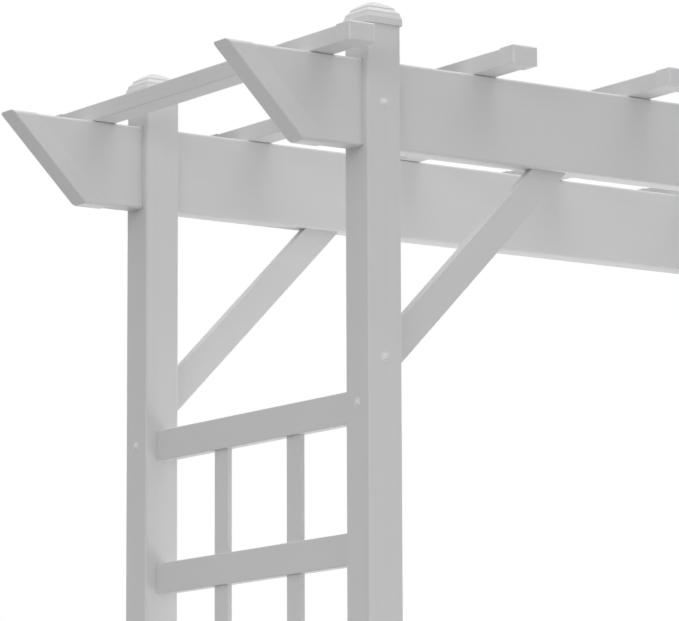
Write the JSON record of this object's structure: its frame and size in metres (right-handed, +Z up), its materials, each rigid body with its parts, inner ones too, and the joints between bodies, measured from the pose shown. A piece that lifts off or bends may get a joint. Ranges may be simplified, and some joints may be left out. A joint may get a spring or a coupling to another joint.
{
  "type": "garden arbor",
  "caption": "White vinyl garden arbor: square capped posts, slant-ended beams through the posts, cross slats, corner braces and a rail and picket trellis on each side.",
  "frame": {"origin": "on the ground, in the middle of the four posts", "axes": "+Z up, +X along the beams, +Y from the front of the passage to its back"},
  "size_m": [2.2306, 0.9018, 2.2295],
  "materials": {
    "vinyl_post": "satin extruded vinyl",
    "vinyl_beam": "satin extruded vinyl",
    "vinyl_rail": "satin extruded vinyl",
    "moulded_cap": "smooth moulded vinyl"
  },
  "bodies": {
    "root": {"beam_back": "vinyl_beam", "beam_cap_back_left": "moulded_cap", "beam_cap_back_right": "moulded_cap", "beam_cap_front_left": "moulded_cap", "beam_cap_front_right": "moulded_cap", "beam_front": "vinyl_beam", "brace_back_left": "vinyl_rail", "brace_back_right": "vinyl_rail", "brace_front_left": "vinyl_rail", "brace_front_right": "vinyl_rail", "picket_left_1": "vinyl_rail", "picket_left_2": "vinyl_rail", "picket_right_1": "vinyl_rail", "picket_right_2": "vinyl_rail", "post_back_left": "vinyl_post", "post_back_right": "vinyl_post", "post_cap_back_left": "moulded_cap", "post_cap_back_right": "moulded_cap", "post_cap_front_left": "moulded_cap", "post_cap_front_right": "moulded_cap", "post_front_left": "vinyl_post", "post_front_right": "vinyl_post", "rail_left_1": "vinyl_rail", "rail_left_2": "vinyl_rail", "rail_left_3": "vinyl_rail", "rail_left_4": "vinyl_rail", "rail_left_5": "vinyl_rail", "rail_left_6": "vinyl_rail", "rail_left_7": "vinyl_rail", "rail_right_1": "vinyl_rail", "rail_right_2": "vinyl_rail", "rail_right_3": "vinyl_rail", "rail_right_4": "vinyl_rail", "rail_right_5": "vinyl_rail", "rail_right_6": "vinyl_rail", "rail_right_7": "vinyl_rail", "slat_1": "vinyl_beam", "slat_2": "vinyl_beam", "slat_3": "vinyl_beam", "slat_4": "vinyl_beam", "slat_5": "vinyl_beam", "slat_6": "vinyl_beam", "slat_7": "vinyl_beam", "slat_caps_back": "moulded_cap", "slat_caps_front": "moulded_cap"}
  },
  "joints": []
}
